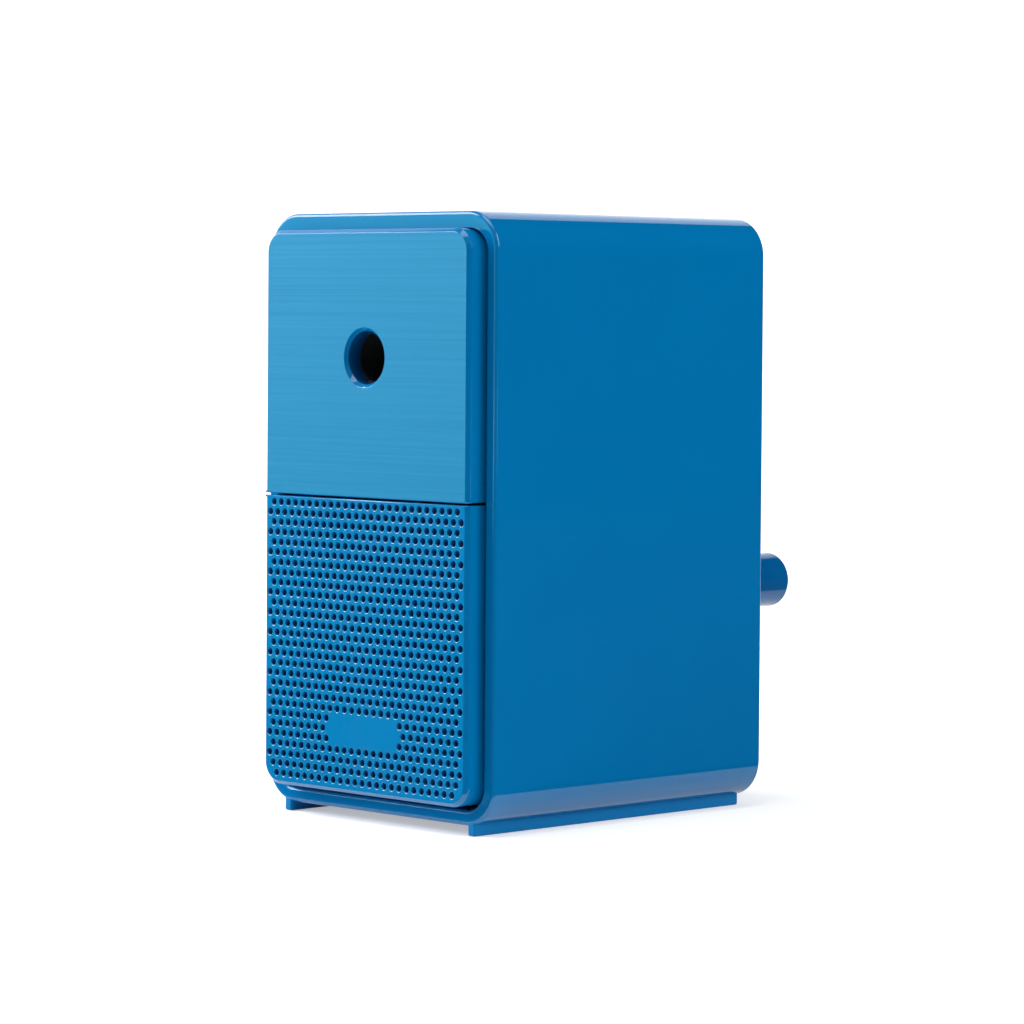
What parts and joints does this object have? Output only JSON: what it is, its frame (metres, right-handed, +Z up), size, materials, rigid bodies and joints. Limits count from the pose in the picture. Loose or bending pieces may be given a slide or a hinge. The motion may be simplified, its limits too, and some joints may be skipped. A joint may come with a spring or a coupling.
{
  "type": "crank pencil sharpener",
  "caption": "Upright desk pencil sharpener with a rounded sleeve, brushed upper front, perforated shavings drawer and a rear hand crank that turns a geared helical cutter.",
  "frame": {"origin": "middle of the whole object's footprint box, on the surface that the skids stand on", "axes": "+X to the right as seen from the front, -Y out of the pencil hole, +Y towards the crank, +Z up"},
  "size_m": [0.061, 0.1112, 0.1118],
  "materials": {
    "gloss_blue": "glossy moulded, blue",
    "satin_blue": "satin moulded, blue",
    "brushed_blue": "brushed sideways, blue",
    "drawer_blue": "semi-gloss moulded, blue",
    "knob_blue": "glossy moulded, blue",
    "tray_plastic": "moulded, fine texture",
    "dark_plastic": "moulded",
    "black_plastic": "moulded, smooth",
    "white_acetal": "natural acetal",
    "cast_zinc": "die-cast zinc alloy",
    "tool_steel": "ground tool steel",
    "steel": "bright zinc-plated steel"
  },
  "bodies": {
    "casing": {"outer_shell": "gloss_blue", "front_panel": "gloss_blue", "face_plate": "brushed_blue", "rear_cover": "satin_blue", "gear_frame": "dark_plastic", "pencil_guide": "black_plastic", "ring_gear": "white_acetal", "shaft_bush": "black_plastic", "panel_screws": "steel", "cover_screws": "steel", "frame_screws": "steel"},
    "crank": {"cutter_carrier": "cast_zinc", "cutter_axle": "steel", "cutter_washers": "steel", "crank_shaft": "steel", "drive_pin": "steel", "thrust_washer": "steel", "retaining_clip": "steel", "crank_arm": "gloss_blue", "crank_screw": "steel", "knob_pin": "steel"},
    "cutter": {"helical_cutter": "tool_steel", "cutter_pinion": "white_acetal"},
    "knob": {"crank_knob": "knob_blue"},
    "drawer": {"drawer_front": "drawer_blue", "drawer_tray": "tray_plastic", "tray_screws": "steel"}
  },
  "joints": [
    {"name": "crank_turn", "type": "hinge", "parent": "casing", "child": "crank", "pos_m": [0, 0.01165, 0.08529], "axis": [0, 1, 0], "continuous": true},
    {"name": "cutter_spin", "type": "hinge", "parent": "crank", "child": "cutter", "pos_m": [0, 0.02023, 0.08529], "axis": [0, 0.9816, -0.1908], "continuous": true},
    {"name": "knob_spin", "type": "hinge", "parent": "crank", "child": "knob", "pos_m": [0, 0.03005, 0.04019], "axis": [0, 1, 0], "continuous": true},
    {"name": "drawer_slide", "type": "slide", "parent": "casing", "child": "drawer", "axis": [0, -1, 0], "range_m": [0, 0.055]}
  ],
  "couplings": [
    {"joint": "cutter_spin", "follows": "crank_turn", "ratio": -3.1667}
  ]
}
